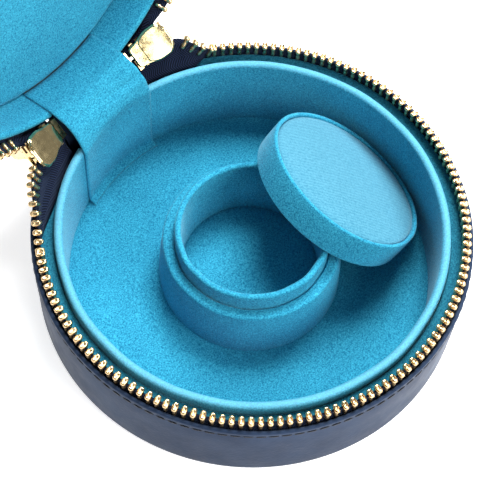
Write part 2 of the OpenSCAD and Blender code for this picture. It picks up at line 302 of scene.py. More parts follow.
def shell_section(height):
    """Section of a leather shell of that height, its seam line pressed in a little."""
    wall_in = case_r - LEATHER
    seam_z = height - STITCH_DROP
    press = 0.16 * MM
    return (
        [(0, 0), (20 * MM, 0), (40 * MM, 0)]
        + arc((case_r - EDGE_R, EDGE_R), EDGE_R, -90, 0, 10)
        + [(case_r, z) for z in (0.4 * height, 0.7 * height, seam_z - 1.2 * MM)]
        + [(case_r - press, seam_z - 0.3 * MM), (case_r - press, seam_z + 0.3 * MM),
           (case_r + 0.05 * MM, seam_z + 0.9 * MM)]
        + arc((case_r - LEATHER / 2, height - LEATHER / 2), LEATHER / 2, 0, 180, 10)
        + [(wall_in, EDGE_R)]
        + arc((case_r - EDGE_R, EDGE_R), EDGE_R - LEATHER, 0, -90, 8)
        + [(0, LEATHER)]
    )


def hand_made(angle, radius, height):
    """Leather pulled over board by hand is never quite round or level."""
    out = fold_direction(angle)
    ease = min(1.0, height / (12 * MM)) * (radius / case_r) ** 8
    wave = noise.noise(Vector((out.x * 2.2, out.y * 2.2, height * 60)))
    lift = noise.noise(Vector((out.x * 3.1, out.y * 3.1, 7.0)))
    return radius + 0.22 * MM * wave * ease, height + 0.15 * MM * lift * ease


base_leather = revolved("base_leather", shell_section(lip_z), leather, shift=hand_made)
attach(base_leather, "base")
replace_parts(base_leather, "base_bottom_leather", "base_wall_leather")


# ------------------------------------------------------------------ stitching
# A lockstitch of waxed thread, 3.4 mm to the stitch, that holds the tape
# inside the leather's lip all the way round, except across the back fold.
def instances_along(name, path, pitch, part, material):
    """Copies of part along a path of (place, up) pairs, one every pitch, as one mesh."""
    tree = bpy.data.node_groups.new(name + "_row", "GeometryNodeTree")
    given_sockets = {}
    for label, kind in (("Geometry", "Geometry"), ("Pitch", "Float"), ("Part", "Object"),
                        ("Finish", "Material")):
        given_sockets[label] = tree.interface.new_socket(
            label, in_out="INPUT", socket_type="NodeSocket" + kind)
    tree.interface.new_socket("Geometry", in_out="OUTPUT", socket_type="NodeSocketGeometry")

    given = put(tree, "NodeGroupInput")
    line = put(tree, "GeometryNodeMeshToCurve")
    spaced = put(tree, "GeometryNodeResampleCurve", mode="LENGTH")
    shape = put(tree, "GeometryNodeObjectInfo")
    along = put(tree, "GeometryNodeInputTangent")
    upward = put(tree, "GeometryNodeInputNamedAttribute", data_type="FLOAT_VECTOR", Name="up")
    aim = put(tree, "FunctionNodeAlignEulerToVector", axis="X")
    stand = put(tree, "FunctionNodeAlignEulerToVector", axis="Z", pivot_axis="X")
    copies = put(tree, "GeometryNodeInstanceOnPoints")
    real = put(tree, "GeometryNodeRealizeInstances")
    coat = put(tree, "GeometryNodeSetMaterial")
    result = put(tree, "NodeGroupOutput")
    for source, output, target, socket in (
            (given, "Geometry", line, "Mesh"),
            (line, "Curve", spaced, "Curve"),
            (given, "Pitch", spaced, "Length"),
            (given, "Part", shape, "Object"),
            (along, "Tangent", aim, "Vector"),
            (aim, "Rotation", stand, "Rotation"),
            (upward, "Attribute", stand, "Vector"),
            (spaced, "Curve", copies, "Points"),
            (shape, "Geometry", copies, "Instance"),
            (stand, "Rotation", copies, "Rotation"),
            (copies, "Instances", real, "Geometry"),
            (real, "Geometry", coat, "Geometry"),
            (given, "Finish", coat, "Material"),
            (coat, "Geometry", result, "Geometry")):
        wire(tree, source, output, target, socket)

    line_mesh = bpy.data.meshes.new(name + "_line")
    points = [p for p, _ in path]
    line_mesh.from_pydata(points, [(k, k + 1) for k in range(len(points) - 1)], [])
    ups = line_mesh.attributes.new("up", "FLOAT_VECTOR", "POINT")
    ups.data.foreach_set("vector", [c for _, u in path for c in u])
    guide = placed(name + "_guide", line_mesh)
    row = guide.modifiers.new("row", "NODES")
    row.node_group = tree
    for label, value in (("Pitch", pitch), ("Part", part), ("Finish", material)):
        row[given_sockets[label].identifier] = value
    mesh = worked_out(guide)
    guide.modifiers.clear()
    bpy.data.objects.remove(guide)
    mesh.name = name
    if "up" in mesh.attributes:
        mesh.attributes.remove(mesh.attributes["up"])
    mesh.materials.clear()
    return finished(name, mesh, material, 60)


def small_part(name, bm):
    """A part kept out of the scene, for rows to copy."""
    mesh = bpy.data.meshes.new(name)
    bm.to_mesh(mesh)
    bm.free()
    return bpy.data.objects.new(name, mesh)


def thread():
    material, tree, surface = shader("waxed_thread", Roughness=0.55, Sheen_Weight=0.2)
    twist = texture(tree, "Wave", Scale=900, Distortion=1.5)
    coloured(tree, surface, twist, "Fac", (0.001, 0.0015, 0.004), (0.006, 0.009, 0.02))
    relief(tree, surface, twist, "Fac", 0.05 * MM)
    return material


navy_thread = thread()
STITCH_PITCH = 3.4 * MM
STITCH_LENGTH = 2.9 * MM
THREAD = 0.42 * MM


def stitch_part():
    bm = bmesh.new()
    bmesh.ops.create_uvsphere(bm, u_segments=8, v_segments=6, radius=0.5)
    for vert in bm.verts:
        x, y, z = vert.co
        vert.co = (z * STITCH_LENGTH, y * THREAD, x * THREAD * 1.1)
    return small_part("stitch", bm)


stitch = stitch_part()
STITCH_R = case_r - 0.02 * MM       # the thread's middle, level with the leather's face
FOLD_HALF = 15.5                    # degrees each side of the back fold without a zip


def ring_path(radius, height, up, start, end, steps=180):
    """A path round the case with the same up vector, given as (outwards, upwards)."""
    path = []
    for k in range(steps + 1):
        out = fold_direction(start + (end - start) * k / steps)
        path.append((out * radius + Vector((0, 0, height)),
                     out * up[0] + Vector((0, 0, up[1]))))
    return path


base_stitches = instances_along(
    "base_stitches",
    ring_path(STITCH_R, lip_z - STITCH_DROP, (1, 0), FOLD_HALF, 360 - FOLD_HALF),
    STITCH_PITCH, stitch, navy_thread)
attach(base_stitches, "base")


# ------------------------------------------------------------------ lid leather
# The lid's shell is the base's in small: drawn shut, upside down over it, and
# swung open about the back fold.
def joint(name):
    return next(j for j in frame["joints"] if j["name"] == name)


hinge = joint("lid_hinge")
hinge_at = Vector(hinge["pos_m"])
lid_open = -radians(hinge["range_deg"][0])
shut_high = 48 * MM
zip_z = 34.3 * MM                   # of the zip's middle
LID_LIP = 2 * zip_z - lip_z


def swing(angle):
    """The move that opens something by that angle about the back fold."""
    return (Matrix.Translation(hinge_at) @ Matrix.Rotation(-angle, 4, "X")
            @ Matrix.Translation(-hinge_at))


def opened(piece, angle=lid_open):
    piece.data.transform(swing(angle))
    return piece


def upside_down(section, top):
    """The section of a part of the lid that is drawn as one of the base."""
    return [(radius, top - height) for radius, height in section]


def lid_made(angle, radius, height):
    """The lid's leather is out of round in its own way, and level."""
    return hand_made(angle + 40, radius, shut_high - height)[0], height


lid_leather = opened(revolved(
    "lid_leather", upside_down(shell_section(shut_high - LID_LIP), shut_high), leather,
    shift=lid_made))
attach(lid_leather, "lid")
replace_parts(lid_leather, "lid_top_leather", "lid_wall_leather")

lid_stitches = opened(instances_along(
    "lid_stitches",
    ring_path(STITCH_R, LID_LIP + STITCH_DROP, (1, 0), FOLD_HALF, 360 - FOLD_HALF),
    STITCH_PITCH, stitch, navy_thread))
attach(lid_stitches, "lid")


# ------------------------------------------------------------------ boards
# Grey board stiffens both shells and the cap. It is wrapped all over, so it
# shows on no side of the finished case.
def grey_board():
    material, tree, surface = shader("grey_board", Roughness=0.9)
    fibres = texture(tree, "Noise", Scale=700, Detail=5)
    coloured(tree, surface, fibres, "Fac", (0.22, 0.20, 0.17), (0.42, 0.39, 0.33))
    relief(tree, surface, fibres, "Fac", 0.1 * MM)
    return material


board = grey_board()


def repaint(name, material):
    """Gives a CAD node that keeps its shape its finish."""
    mesh = frame["nodes"][name].data
    mesh.materials.clear()
    mesh.materials.append(material)


for part in ("base_bottom_board", "base_wall_board", "lid_top_board", "lid_wall_board",
             "cap_board"):
    repaint(part, board)


# ------------------------------------------------------------------ tray
# The tray's wall is thin board wrapped in turquoise microsuede, painted lighter
# near the rim as a painted highlight. Behind it a narrow strip of the same suede,
# darkened as painted shade, lines the groove up to the zip tape.
MIX_A, MIX_B, MIX_OUT = 6, 7, 2     # the colour sockets of a Mix node


def microsuede(name, bright=1.0, rim=None):
    """Turquoise microsuede, its colour scaled by bright. Over the top 1.2 mm below the
    height rim its colour is blended towards a light blue, a painted highlight."""
    material, tree, surface = shader(
        name, Roughness=0.92, Specular_IOR_Level=0.15, Sheen_Weight=0.36,
        Sheen_Roughness=0.35, Sheen_Tint=(0.5, 0.86, 1.0, 1))
    nap = texture(tree, "Noise", Scale=2200, Detail=4, Roughness=0.75)
    dark = [c * bright for c in (0.003, 0.13, 0.245)]
    light = [c * bright for c in (0.048, 0.42, 0.595)]
    ramp = shades(tree, nap, "Fac", dark, light, (0.36, 0.64))
    brushed = texture(tree, "Noise", Scale=70, Detail=3, Roughness=0.6, Distortion=0.6)
    patches = shades(tree, brushed, "Fac", (0.88, 0.9, 0.92), (1.0, 1.0, 1.0), (0.35, 0.62))
    colour = put(tree, "Mix", data_type="RGBA", blend_type="MULTIPLY", Factor=1.0)
    wire(tree, ramp, "Color", colour, MIX_A)
    wire(tree, patches, "Color", colour, MIX_B)
    # Painted highlight: the top of the wall is blended towards light blue, standing in for light
    # on the rounded rim.
    if rim is not None:
        split = put(tree, "SeparateXYZ")
        wire(tree, put(tree, "TexCoord"), "Object", split, "Vector")
        near = put(tree, "MapRange", From_Min=rim - 1.2 * MM, From_Max=rim, To_Max=0.4)
        wire(tree, split, "Z", near, "Value")
        painted_highlight = put(tree, "Mix", data_type="RGBA")
        painted_highlight.inputs[MIX_B].default_value = (0.22, 0.52, 0.66, 1)
        wire(tree, near, "Result", painted_highlight, "Factor")
        wire(tree, colour, MIX_OUT, painted_highlight, MIX_A)
        colour = painted_highlight
    wire(tree, colour, MIX_OUT, surface, "Base Color")
    relief(tree, surface, nap, "Fac", 0.22 * MM, 0.7)
    return material


suede = microsuede("turquoise_suede")
# A copy darkened to 0.55: painted shade for the groove's lining, which lies in shadow between the
# rim and the tape.
painted_shade_suede = microsuede("turquoise_suede_shaded", 0.55)
# The tray wall's suede, with the painted highlight along its rim.
suede_rim_highlight = microsuede("turquoise_suede_rim", 1.0, rim_z)
tray_r = tray_high.x
TRAY_WALL = 2.5 * MM
floor_z = 4 * MM
WALL_FOOT = floor_z - 1.3 * MM      # the walls run on down into the floor's pad


def wall_section(outer, thick, low, high):
    """Section of an upright lined wall with a softly rounded rim."""
    turned = thick / 2
    middle = outer - turned
    return (
        [(outer, low), (outer, low + 0.4 * (high - low)), (outer, high - turned)]
        + arc((middle, high - turned), turned, 20, 160, 8)
        + [(outer - thick, high - turned), (outer - thick, low + 0.4 * (high - low)),
           (outer - thick, low)]
    )


def soft_rim(angle, radius, height):
    """A wrapped rim that wanders a little."""
    out = fold_direction(angle)
    ease = max(0.0, min(1.0, (height - 8 * MM) / (20 * MM)))
    wander = noise.noise(Vector((out.x * 4, out.y * 4, 3.0)))
    lift = noise.noise(Vector((out.x * 7, out.y * 7, 9.0)))
    return radius + 0.25 * MM * wander * ease, height + 0.12 * MM * lift * ease


TRAY_GAP = 14.4                     # degrees of wall left out each side of the fold
tray_wall = revolved(
    "tray_wall_suede", wall_section(tray_r, TRAY_WALL, WALL_FOOT, rim_z),
    suede_rim_highlight, TRAY_GAP, 360 - TRAY_GAP, 300, soft_rim)
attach(tray_wall, "base")
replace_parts(tray_wall, "tray_wall")

LEDGE_IN = 56.1 * MM
LEDGE_OUT = 60.25 * MM
BASE_LEDGE = (21.3 * MM, 28.1 * MM)
LID_LEDGE_TOP = 41.9 * MM
LID_LEDGE = 1.4 * MM


def ledge_section(low, high):
    """Section of the groove's lining: suede over a card strip, rolled at its edge."""
    return (
        [(LEDGE_IN, low), (LEDGE_OUT, low), (LEDGE_OUT, high - 0.3 * MM)]
        + arc((LEDGE_OUT - 0.5 * MM, high - 0.5 * MM), 0.5 * MM, 20, 90, 4)
        + [((LEDGE_IN + LEDGE_OUT) / 2, high - 0.25 * MM), (LEDGE_IN + 0.3 * MM, high),
           (LEDGE_IN, high - 0.3 * MM)]
    )


# Both ledges take the darkened copy of the suede, as painted shade.
base_ledge = revolved("base_ledge_suede", ledge_section(*BASE_LEDGE), painted_shade_suede,
                      FOLD_HALF, 360 - FOLD_HALF)
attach(base_ledge, "base")
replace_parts(base_ledge, "base_ledge_lining")
lid_ledge = opened(revolved(
    "lid_ledge_suede", upside_down(ledge_section(0, LID_LEDGE), LID_LEDGE_TOP), painted_shade_suede,
    FOLD_HALF, 360 - FOLD_HALF))
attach(lid_ledge, "lid")
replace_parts(lid_ledge, "lid_ledge_lining")


# ------------------------------------------------------------------ tray floor
# A thin foam pad under suede fills the bottom of the tray. It is slightly
# crowned between the pod and the wall, and dips where it is tucked in.
CLOTH_SCALE = 20.0
CLOTH_FRAMES = 20
CLOTH_PRESSURE = 4.0
MOST_PLUMP = 0.4 * MM


def plumped(pad, free, voxel):
    """The pad's cover blown up from inside by a cloth simulation, worked at twenty
    times its size. It is held where free(point) is false, and moves 0.4 mm at most."""
    cover = pad.data.copy()
    cover.transform(Matrix.Scale(CLOTH_SCALE, 4))
    soft = placed(pad.name + "_cover", cover)
    remesh = soft.modifiers.new("voxels", "REMESH")
    remesh.mode = "VOXEL"
    remesh.voxel_size = voxel * CLOTH_SCALE
    soft.data = worked_out(soft)
    soft.modifiers.clear()
    start = [v.co.copy() for v in soft.data.vertices]
    held = soft.vertex_groups.new(name="held")
    held.add([k for k, co in enumerate(start) if not free(co / CLOTH_SCALE)], 1.0, "REPLACE")
    cloth = soft.modifiers.new("cloth", "CLOTH")
    cloth.settings.vertex_group_mass = "held"
    cloth.settings.use_pressure = True
    cloth.settings.uniform_pressure_force = CLOTH_PRESSURE
    cloth.settings.effector_weights.gravity = 0.0
    cloth.settings.quality = 4
    cloth.point_cache.frame_start, cloth.point_cache.frame_end = 1, CLOTH_FRAMES
    for frame_number in range(1, CLOTH_FRAMES + 1):
        scene.frame_set(frame_number)
    blown = worked_out(soft)
    moves = [v.co - co for v, co in zip(blown.vertices, start)]
    longest = max(move.length for move in moves)
    share = min(1.0, MOST_PLUMP * CLOTH_SCALE / longest) if longest else 0.0
    for v, co, move in zip(blown.vertices, start, moves):
        v.co = (co + move * share) / CLOTH_SCALE
    scene.frame_set(1)
    blown.materials.clear()
    blown.materials.append(pad.data.materials[0])
    blown.shade_smooth()
    blown.name = pad.name
    pad.data = blown
    bpy.data.objects.remove(soft)
    finer = pad.modifiers.new("finer", "SUBSURF")
    finer.levels = finer.render_levels = 1
    return pad


SEWN_EDGE = 1.2 * MM                # of a pad's top, held as the cover is blown up


def disc_pad(name, outer, inner, low, high, crown, tuck, material, under=0.8 * MM,
             voxel=1.1 * MM):
    """A padded ring or disc between two walls: its top swells by crown and is tucked
    in at its edges, and the pad runs on under the walls."""
    top = []
    width = outer - inner
    steps = [0, 0.2, 0.45, 0.8, 1.3, 2.0, 3.0, 4.5]
    inside = [inner + step * MM for step in steps] if inner > 0 else [0.0]
    outside = [outer - step * MM for step in reversed(steps)]
    middle = [inner + width * k / 8 for k in range(1, 8)]
    for radius in inside + middle + outside:
        edge = min(radius - inner if inner > 0 else width, outer - radius)
        rise = crown * sin(pi / 2 * min(1.0, edge / (0.5 * width)))
        fall = tuck * max(0.0, 1 - edge / (1.8 * MM)) ** 2
        top.append((radius, high + rise - fall))
    top = sorted(set(top))
    under_walls = [(outer + under, low), (outer + under, high - tuck)]
    if inner > 0:
        section = ([(inner - under, low)] + under_walls + list(reversed(top))
                   + [(inner - under, high - tuck)])
    else:
        section = [(0.0, low)] + under_walls + list(reversed(top))

    def free(point):
        radius = sqrt(point.x ** 2 + point.y ** 2)
        inside_edge = inner == 0 or radius > inner + SEWN_EDGE
        return point.z > high - 0.7 * MM and inside_edge and radius < outer - SEWN_EDGE

    return plumped(revolved(name, section, material), free, voxel)


pod_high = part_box("pod_ring")[1]
pod_r = pod_high.x
tray_floor = disc_pad("tray_floor", tray_r - TRAY_WALL, pod_r, 2.7 * MM,
                      floor_z - 0.2 * MM, 0.4 * MM, 0.4 * MM, suede, 1.4 * MM)
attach(tray_floor, "base")
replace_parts(tray_floor, "tray_floor_pad")


# ------------------------------------------------------------------ pod
# A ring of foam-backed board covered in suede, a thinner and taller collar
# inside it that locates the cap, and a small round pad at the bottom.
collar_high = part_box("pod_collar")[1]
COLLAR = 1.9 * MM
RING_IN = collar_high.x + 0.1 * MM
SHOULDER = 1.0 * MM
ring_top_r = 25.7 * MM
pod_section = (
    [(pod_r, WALL_FOOT), (pod_r, floor_z + 0.3 * MM),
     ((pod_r + ring_top_r) / 2 + 0.15 * MM, (floor_z + pod_high.z) / 2)]
    + arc((ring_top_r - SHOULDER, pod_high.z - SHOULDER), SHOULDER, 0, 90, 6)
    + [(RING_IN + 0.5 * MM, pod_high.z - 0.1 * MM), (RING_IN, pod_high.z - 0.6 * MM),
       (RING_IN, WALL_FOOT)]
)
pod = revolved("pod_ring_suede", pod_section, suede, shift=soft_rim)
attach(pod, "base")
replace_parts(pod, "pod_ring")

collar = revolved(
    "pod_collar_suede", wall_section(collar_high.x, COLLAR, floor_z - 0.5 * MM, collar_high.z),
    suede, shift=soft_rim)
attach(collar, "base")
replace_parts(collar, "pod_collar")

pod_floor_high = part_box("pod_floor_pad")[1]
pod_floor = disc_pad("pod_floor", collar_high.x - COLLAR, 0.0, 3.2 * MM,
                     pod_floor_high.z - 0.5 * MM, 0.5 * MM, 0.6 * MM, suede, 0.9 * MM)
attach(pod_floor, "base")
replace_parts(pod_floor, "pod_floor_pad")


# ------------------------------------------------------------------ lid lining
# The lid is lined like the tray: a shallow suede rim and a padded disc that
# fills it. The rim stands proud of the leather and drops inside the zip.
rim_low, rim_high = 32.5 * MM, 44.4 * MM
LID_RIM_R = 57 * MM
LID_RIM = 2.4 * MM
LID_RIM_FOOT = rim_high + 0.9 * MM  # it runs on down past the disc's cover
lid_rim = opened(revolved(
    "lid_rim_suede",
    upside_down(wall_section(LID_RIM_R, LID_RIM, 0, rim_high - rim_low), LID_RIM_FOOT),
    suede, TRAY_GAP, 360 - TRAY_GAP, 300))
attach(lid_rim, "lid")
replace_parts(lid_rim, "lid_rim_wall")

lid_disc_z = 45.6 * MM
DISC_SWELL = 0.4 * MM
lid_disc = disc_pad(
    "lid_disc", LID_RIM_R - LID_RIM, 0.0, 0, 1.8 * MM, DISC_SWELL, 1.2 * MM, suede, 0.6 * MM)
lid_disc.data.transform(
    Matrix.Translation((0, 0, lid_disc_z)) @ Matrix.Rotation(pi, 4, "X"))
opened(lid_disc)
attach(lid_disc, "lid")
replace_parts(lid_disc, "lid_disc_pad")


# ------------------------------------------------------------------ zip tape
# Herringbone-woven polyester tape. Its hem is caught inside the leather's
# lip, from where it leans in and stands up to carry the teeth.
HERRING_BAND = 1.6 * MM
CORD_PITCH = 0.75 * MM


def herringbone():
    material, tree, surface = shader(
        "herringbone_tape", Roughness=0.85, Specular_IOR_Level=0.15, Sheen_Weight=0.06,
        Sheen_Tint=(0.4, 0.6, 1.0, 1))
    split = put(tree, "SeparateXYZ")
    wire(tree, put(tree, "UVMap", uv_map="UVMap"), "UV", split, "Vector")
    band = put(tree, "Math", operation="PINGPONG")
    band.inputs[1].default_value = HERRING_BAND
    wire(tree, split, "Y", band, 0)
    slant = put(tree, "Math", operation="ADD")
    wire(tree, split, "X", slant, 0)
    wire(tree, band, "Value", slant, 1)
    turns = put(tree, "Math", operation="MULTIPLY")
    turns.inputs[1].default_value = 2 * pi / CORD_PITCH
    wire(tree, slant, "Value", turns, 0)
    wave = put(tree, "Math", operation="SINE")
    wire(tree, turns, "Value", wave, 0)
    cord = put(tree, "MapRange", From_Min=-1, From_Max=1)
    wire(tree, wave, "Value", cord, "Value")
    coloured(tree, surface, cord, "Result", (0.001, 0.002, 0.006), (0.010, 0.018, 0.050),
             (0.25, 0.9))
    relief(tree, surface, cord, "Result", 0.18 * MM)
    return material


tape_cloth = herringbone()
tape_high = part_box("base_zip_tape")[1]
TAPE_R = 59.9 * MM
TAPE = 0.6 * MM
hem_r = case_r - LEATHER - 0.05 * MM - TAPE
ROW_START = 30.5                    # degrees from the fold where the open rows begin
DRAWN_UP = 28.5                     # and where the tape's edge starts up to the zip's middle


def tape_section(hem, top):
    """Section of the tape, hem first: flat in the lip, leaning, then upright."""
    outer = TAPE_R + TAPE / 2
    return [
        (hem_r, lip_z - hem), (hem_r + TAPE, lip_z - hem),
        (hem_r + TAPE, lip_z - 1.9 * MM), (outer, lip_z - 0.3 * MM), (outer, top),
        (outer - TAPE, top), (outer - TAPE, lip_z - 0.3 * MM), (hem_r, lip_z - 1.9 * MM),
    ]


BASE_FLARE_END = {-1: 51.0, 1: 38.0}    # degrees from the fold where the tape lies true
LID_FLARE_END = 62.0
FOLD_REACH = 26 * MM                # of the lid's flare each side of the fold's bisector
SLIDER_TAIL = 24.5                  # degrees from the fold where the zip end carries it all
FOOT_IN = 4.2 * MM                  # how far the tape's foot leans in at the fold
zip_end_angle = lid_open / 2
bisector = Vector((0, sin(lid_open / 2), cos(lid_open / 2)))


def smooth(share):
    """From 0 to 1 as share does, level at both ends."""
    share = max(0.0, min(1.0, share))
    return share * share * (3 - 2 * share)


def ribbon(name, grid, material, thickness, chart=None):
    """A thin piece over rows of points. chart, where given, lays point j of row k out
    flat as chart(k, j)."""
    bm = bmesh.new()
    uv = bm.loops.layers.uv.new("UVMap") if chart else None
    rows = [[bm.verts.new(place) for place in row] for row in grid]
    for k in range(len(rows) - 1):
        for j in range(len(rows[k]) - 1):
            corners = ((k, j), (k + 1, j), (k + 1, j + 1), (k, j + 1))
            face = bm.faces.new([rows[a][b] for a, b in corners])
            if chart:
                for loop, corner in zip(face.loops, corners):
                    loop[uv].uv = chart(*corner)
    piece = piece_of(name, bm, material, 80)
    thick = piece.modifiers.new("thickness", "SOLIDIFY")
    thick.thickness = thickness
    thick.offset = 0
    return piece


def on_side(side, point):
    return Vector((side * point.x, point.y, point.z))


def flare_of(side, lid):
    """The blend's two ends, its whole angle and where the iteration starts."""
    if lid:
        reach = FOLD_REACH * bisector
        return hinge_at - reach, hinge_at + reach, lid_open, 1.0
    start = fold_direction(BASE_FLARE_END[side]) * TAPE_R + Vector((0, 0, lip_z))
    finish = swing(zip_end_angle) @ (
        fold_direction(SLIDER_TAIL) * TAPE_R + Vector((0, 0, lip_z)))
    return on_side(side, start), on_side(side, finish), zip_end_angle, 0.0


def eased(point, side, lid):
    """Where a point of the shut case rests when it follows the lid's swing from
    none of it at the blend's start to all of it at the end, and how much it turns."""
    start, finish, angle, weight = flare_of(side, lid)
    along = finish - start
    here = swing(angle * weight) @ point
    for _ in range(60):
        wanted = smooth((here - start).dot(along) / along.length_squared)
        weight += 0.5 * (wanted - weight)
        here = swing(angle * weight) @ point
    return here, angle * weight


def follow_flare(piece):
    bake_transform(piece)


def tape_end(name, side, lid):
    """The stretch of tape beside the fold: its foot leans in over the ledge, and its
    edge is drawn up to the slider."""
    last = LID_FLARE_END if lid else BASE_FLARE_END[side]
    steps = 60
    angles = [FOLD_HALF + (last - FOLD_HALF) * k / steps for k in range(steps + 1)]
    grid = []
    for angle in angles:
        out = fold_direction(side * angle)
        near = smooth((last - angle) / (last - ROW_START))
        drawn = smooth((DRAWN_UP - angle) / 4)
        top_z = tape_high.z + (zip_z - 0.3 * MM - tape_high.z) * drawn
        foot_r = hem_r + TAPE / 2 - FOOT_IN * near
        levels = ((foot_r, lip_z - 2.1 * MM), (TAPE_R, lip_z - 0.3 * MM), (TAPE_R, top_z))
        foot, waist, edge = (
            out * r + Vector((0, 0, 2 * zip_z - z if lid else z)) for r, z in levels)
        edge = eased(edge, side, lid)[0]
        if lid:
            foot, waist = swing(lid_open) @ foot, swing(lid_open) @ waist
        waist = waist.lerp(foot.lerp(edge, 0.4), near)
        grid.append([foot, foot.lerp(waist, 0.5)]
                    + [waist.lerp(edge, j / 4) for j in range(5)])
    piece = ribbon(name, grid, tape_cloth, TAPE,
                   lambda k, j: (angles[k] * radians(1) * TAPE_R, j * 1.3 * MM))
    follow_flare(piece)
    return piece


base_tape = revolved("base_tape", tape_section(6.8 * MM, tape_high.z), tape_cloth,
                     BASE_FLARE_END[1], 360 - BASE_FLARE_END[-1], 240)
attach(base_tape, "base")
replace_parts(base_tape, "base_zip_tape")
lid_tape = opened(revolved(
    "lid_tape", upside_down(tape_section(3.5 * MM, tape_high.z), 2 * zip_z), tape_cloth,
    LID_FLARE_END, 360 - LID_FLARE_END, 240))
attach(lid_tape, "lid")
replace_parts(lid_tape, "lid_zip_tape")
for side, hand in ((-1, "left"), (1, "right")):
    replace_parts(tape_end("base_tape_" + hand, side, False), "zip_end_tape_" + hand)
    tape_end("lid_tape_" + hand, side, True)


# ------------------------------------------------------------------ zip teeth
# Stamped brass teeth, one every 2.54 mm, each a pair of legs clamped on the
# tape's edge with a round dimpled head above.
def polished_brass(name, rough, colour):
    material, tree, surface = shader(name, Metallic=1.0, Roughness=rough)
    marks = texture(tree, "Noise", Scale=500, Detail=4)
    coloured(tree, surface, marks, "Fac", [c * 0.78 for c in colour], colour)
    worn(tree, surface, marks, rough * 0.7, rough * 1.5)
    relief(tree, surface, marks, "Fac", 0.02 * MM, 0.4)
    return material


def squared_ring(half_wide, half_high, sides, power):
    """Points of a ring between a rectangle and an ellipse."""
    turns = [2 * pi * k / sides for k in range(sides)]
    return [(half_wide * copysign(abs(cos(a)) ** power, cos(a)),
             half_high * copysign(abs(sin(a)) ** power, sin(a))) for a in turns]


def skin(bm, rings):
    """Faces between closed rings of points, and over both ends."""
    for one, two in zip(rings, rings[1:]):
        for k in range(len(one)):
            j = (k + 1) % len(one)
            bm.faces.new((one[k], one[j], two[j], two[k]))
    bm.faces.new(list(reversed(rings[0])))
    bm.faces.new(rings[-1])


tooth_brass = polished_brass("tooth_brass", 0.28, (0.78, 0.56, 0.30))
slider_brass = polished_brass("slider_brass", 0.12, (0.82, 0.67, 0.36))
PITCH = 2.54 * MM


def tooth_part():
    """One tooth: along the chain is X, outwards is Y, and its head is up. Each level
    gives its height, half width and half depth, from the feet to the dimpled crown."""
    levels = (
        (-2.3, 0.40, 0.86), (-2.1, 0.62, 1.10), (-0.9, 0.60, 1.16), (-0.3, 0.50, 1.04),
        (0.2, 0.56, 1.10), (0.7, 0.84, 1.34), (1.15, 0.88, 1.38), (1.5, 0.72, 1.20),
        (1.62, 0.46, 0.86), (1.30, 0.24, 0.46),
    )
    bm = bmesh.new()
    rings = [
        [bm.verts.new((x * MM, y * MM, height * MM))
         for x, y in squared_ring(half_wide, half_deep, 10, 0.7)]
        for height, half_wide, half_deep in levels
    ]
    skin(bm, rings)
    bmesh.ops.recalc_face_normals(bm, faces=bm.faces)
    return small_part("tooth", bm)


tooth = tooth_part()
TOOTH_HIGH = 1.62 * MM              # of its head above its origin
ROW_GAP = 0.75 * MM                 # from a head to the zip's middle
TOOTH_Z = zip_z - ROW_GAP - TOOTH_HIGH


def tooth_row(name, start, end, shift, lid, side=0):
    """The teeth between two angles from the fold, as a row on the base or the lid.
    A row with a side is bent to where the flared tape holds it."""
    first = start + (PITCH * (0.5 + shift) / TAPE_R) * degrees(1)
    height, up = (2 * zip_z - TOOTH_Z, (0, -1)) if lid else (TOOTH_Z, (0, 1))
    path = ring_path(TAPE_R, height, up, first, end, 360)
    if side:
        bent = []
        for point, upward in path:
            place, angle = eased(point, side, lid)
            bent.append((place, Matrix.Rotation(-angle, 3, "X") @ upward))
        path = bent
    piece = instances_along(name, path, PITCH, tooth, tooth_brass)
    if side:
        follow_flare(piece)
    else:
        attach(opened(piece) if lid else piece, "lid" if lid else "base")
    return piece


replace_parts(tooth_row("base_teeth", BASE_FLARE_END[1], 360 - BASE_FLARE_END[-1], 0.0, False),
            "base_zip_teeth")
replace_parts(tooth_row("lid_teeth", LID_FLARE_END, 360 - LID_FLARE_END, 0.5, True),
            "lid_zip_teeth")
for side, hand in ((-1, "left"), (1, "right")):
    for lid, last in ((False, BASE_FLARE_END[side]), (True, LID_FLARE_END)):
        ends = (ROW_START, last) if side > 0 else (360 - last, 360 - ROW_START)
        tooth_row(("lid" if lid else "base") + "_teeth_" + hand, *ends, 0.5 * lid, lid, side)
for part in ("zip_end_teeth_left", "zip_end_teeth_right", "zip_stop_left", "zip_stop_right"):
    repaint(part, tooth_brass)


# ------------------------------------------------------------------ sliders
# Die-cast and plated: a shield-shaped inner plate with a stepped nose, an
# outer plate, a post between the two rows at the mouth, and a bridge.
park = 22.5                         # degrees from the back fold


def on_slider(along, height, out, side):
    """A place on a parked slider, from its middle: towards the mouth, up, and out
    from the case's axis, on the shut case and then swung with the zip's end."""
    flat = fold_direction(side * (park + degrees(along / TAPE_R))) * out
    return swing(zip_end_angle) @ (flat + Vector((0, 0, zip_z + height)))


def cast_plate(bm, outline, low, high, place, edge=0.25 * MM, sunk=0.0):
    """A plate with that outline and rounded edges between two depths. Its high face
    has a panel sunk by that much."""
    reach = max(abs(v) for _, v in outline)
    slim = 1 - edge / reach
    levels = [(0.02, low), (0.5, low), (slim - 0.02, low), (slim, low), (1, low + edge),
              (1, high - edge), (slim, high), (slim - 0.02, high), (0.8, high)]
    levels += [(0.76, high - sunk), (0.74, high - sunk), (0.4, high - sunk), (0.02, high - sunk)]
    middle = sum(u for u, _ in outline) / len(outline)
    rings = [
        [bm.verts.new(place(middle + (u - middle) * size, v * size, depth)) for u, v in outline]
        for size, depth in levels
    ]
    skin(bm, rings)


